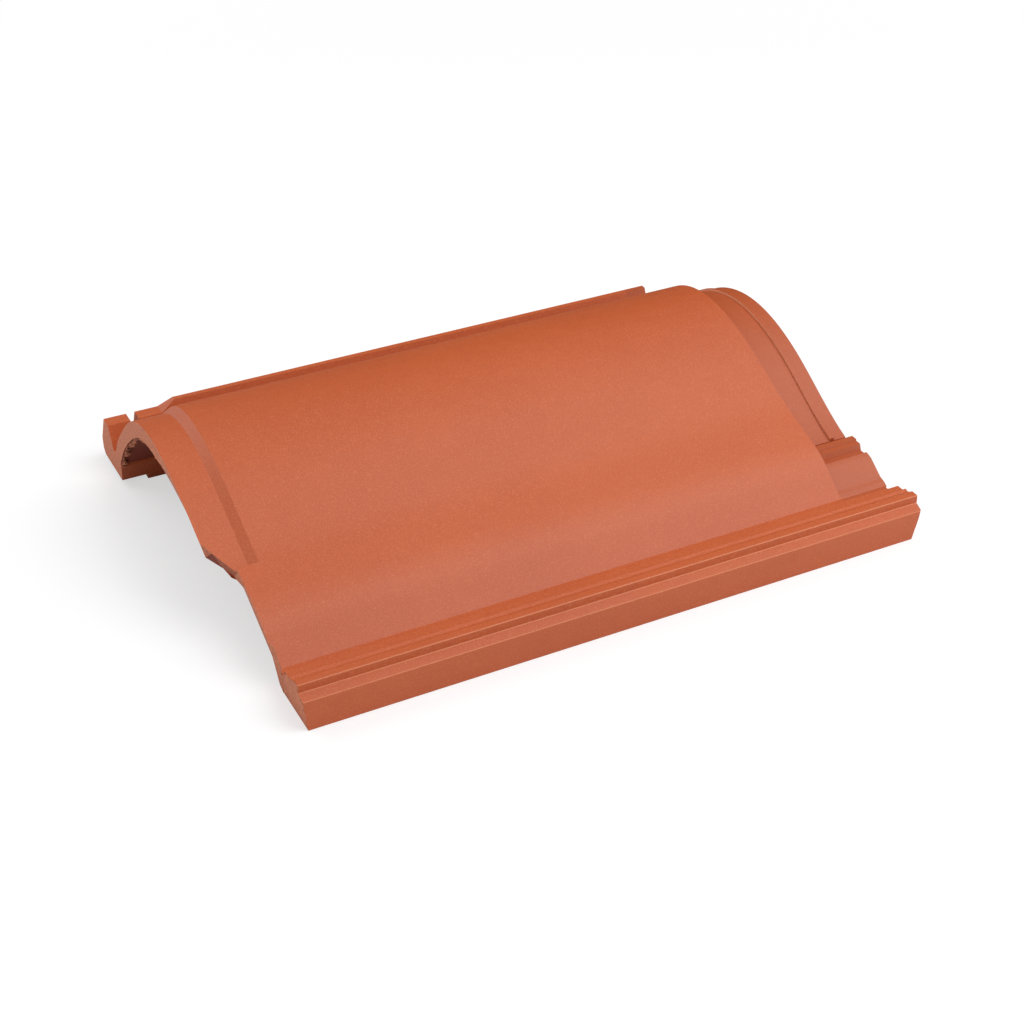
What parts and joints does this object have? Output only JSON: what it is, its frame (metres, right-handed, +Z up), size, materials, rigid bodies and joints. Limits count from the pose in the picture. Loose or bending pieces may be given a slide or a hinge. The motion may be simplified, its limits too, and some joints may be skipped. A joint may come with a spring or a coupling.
{
  "type": "interlocking single-roll roof tile",
  "caption": "Terracotta roof tile with one wide roll, a ribbed side lock along the near edge, a raised ear along the far edge and lowered bands at both ends.",
  "frame": {"origin": "under the middle of the tile, on the floor it lies on", "axes": "+X from the nose to the head along the roll, +Y from the ribbed side lock to the far ear, +Z up through the crown of the roll"},
  "size_m": [0.442, 0.338, 0.0891],
  "materials": {
    "roof_tile": "smooth satin terracotta slip, paler and rougher on the cut ends"
  },
  "bodies": {
    "root": {"roof_tile": "roof_tile"}
  },
  "joints": []
}
